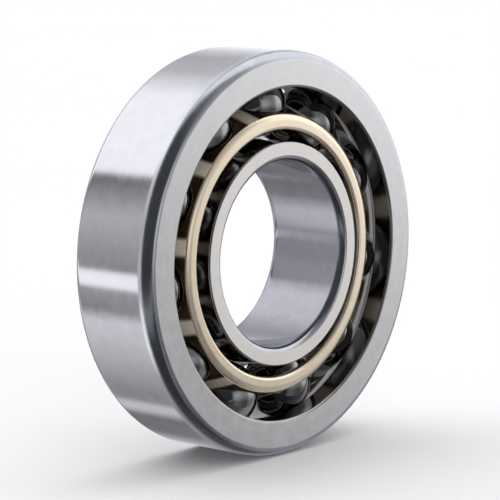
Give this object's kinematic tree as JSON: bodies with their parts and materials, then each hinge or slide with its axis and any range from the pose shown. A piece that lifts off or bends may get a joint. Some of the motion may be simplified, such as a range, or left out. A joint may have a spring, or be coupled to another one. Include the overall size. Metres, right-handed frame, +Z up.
{
  "type": "angular contact ball bearing",
  "caption": "Open angular contact ball bearing with a turned window cage: carries a shaft's radial load and its thrust towards one side.",
  "frame": {"origin": "centre of the bearing, on its axis, midway between the front of the outer ring and the back of the inner ring", "axes": "+Y along the bearing's axis, from the face where the outer ring is wide to the face where the inner ring is wide; +Z up, through the centre of one ball, with the bearing standing on its rim"},
  "size_m": [0.1198, 0.0306, 0.1198],
  "materials": {
    "ring_steel": "fine ground bearing steel",
    "ball_steel": "polished bearing steel",
    "cage_brass": "turned brass"
  },
  "bodies": {
    "outer_ring": {"outer_ring": "ring_steel"},
    "inner_ring": {"inner_ring": "ring_steel"},
    "cage": {"cage": "cage_brass"},
    "ball_01": {"ball_01": "ball_steel"},
    "ball_02": {"ball_02": "ball_steel"},
    "ball_03": {"ball_03": "ball_steel"},
    "ball_04": {"ball_04": "ball_steel"},
    "ball_05": {"ball_05": "ball_steel"},
    "ball_06": {"ball_06": "ball_steel"},
    "ball_07": {"ball_07": "ball_steel"},
    "ball_08": {"ball_08": "ball_steel"},
    "ball_09": {"ball_09": "ball_steel"},
    "ball_10": {"ball_10": "ball_steel"},
    "ball_11": {"ball_11": "ball_steel"}
  },
  "joints": [
    {"name": "inner_ring_spin", "type": "hinge", "parent": "outer_ring", "child": "inner_ring", "pos_m": [0, 0, 0], "axis": [0, 1, 0], "continuous": true},
    {"name": "cage_spin", "type": "hinge", "parent": "outer_ring", "child": "cage", "pos_m": [0, 0, 0], "axis": [0, 1, 0], "continuous": true},
    {"name": "ball_01_spin", "type": "hinge", "parent": "cage", "child": "ball_01", "pos_m": [0, 0, 0.04375], "axis": [0, 0.766, 0.6428], "continuous": true},
    {"name": "ball_02_spin", "type": "hinge", "parent": "cage", "child": "ball_02", "pos_m": [-0.02365, 0, 0.0368], "axis": [-0.3475, 0.766, 0.5407], "continuous": true},
    {"name": "ball_03_spin", "type": "hinge", "parent": "cage", "child": "ball_03", "pos_m": [-0.0398, 0, 0.01817], "axis": [-0.5847, 0.766, 0.267], "continuous": true},
    {"name": "ball_04_spin", "type": "hinge", "parent": "cage", "child": "ball_04", "pos_m": [-0.04331, 0, -0.00623], "axis": [-0.6362, 0.766, -0.0915], "continuous": true},
    {"name": "ball_05_spin", "type": "hinge", "parent": "cage", "child": "ball_05", "pos_m": [-0.03306, 0, -0.02865], "axis": [-0.4858, 0.766, -0.4209], "continuous": true},
    {"name": "ball_06_spin", "type": "hinge", "parent": "cage", "child": "ball_06", "pos_m": [-0.01233, 0, -0.04198], "axis": [-0.1811, 0.766, -0.6168], "continuous": true},
    {"name": "ball_07_spin", "type": "hinge", "parent": "cage", "child": "ball_07", "pos_m": [0.01233, 0, -0.04198], "axis": [0.1811, 0.766, -0.6168], "continuous": true},
    {"name": "ball_08_spin", "type": "hinge", "parent": "cage", "child": "ball_08", "pos_m": [0.03306, 0, -0.02865], "axis": [0.4858, 0.766, -0.4209], "continuous": true},
    {"name": "ball_09_spin", "type": "hinge", "parent": "cage", "child": "ball_09", "pos_m": [0.04331, 0, -0.00623], "axis": [0.6362, 0.766, -0.0915], "continuous": true},
    {"name": "ball_10_spin", "type": "hinge", "parent": "cage", "child": "ball_10", "pos_m": [0.0398, 0, 0.01817], "axis": [0.5847, 0.766, 0.267], "continuous": true},
    {"name": "ball_11_spin", "type": "hinge", "parent": "cage", "child": "ball_11", "pos_m": [0.02365, 0, 0.0368], "axis": [0.3475, 0.766, 0.5407], "continuous": true}
  ],
  "couplings": [
    {"joint": "cage_spin", "follows": "inner_ring_spin", "ratio": 0.40966},
    {"joint": "ball_01_spin", "follows": "inner_ring_spin", "ratio": -2.0507},
    {"joint": "ball_02_spin", "follows": "inner_ring_spin", "ratio": -2.0507},
    {"joint": "ball_03_spin", "follows": "inner_ring_spin", "ratio": -2.0507},
    {"joint": "ball_04_spin", "follows": "inner_ring_spin", "ratio": -2.0507},
    {"joint": "ball_05_spin", "follows": "inner_ring_spin", "ratio": -2.0507},
    {"joint": "ball_06_spin", "follows": "inner_ring_spin", "ratio": -2.0507},
    {"joint": "ball_07_spin", "follows": "inner_ring_spin", "ratio": -2.0507},
    {"joint": "ball_08_spin", "follows": "inner_ring_spin", "ratio": -2.0507},
    {"joint": "ball_09_spin", "follows": "inner_ring_spin", "ratio": -2.0507},
    {"joint": "ball_10_spin", "follows": "inner_ring_spin", "ratio": -2.0507},
    {"joint": "ball_11_spin", "follows": "inner_ring_spin", "ratio": -2.0507}
  ]
}
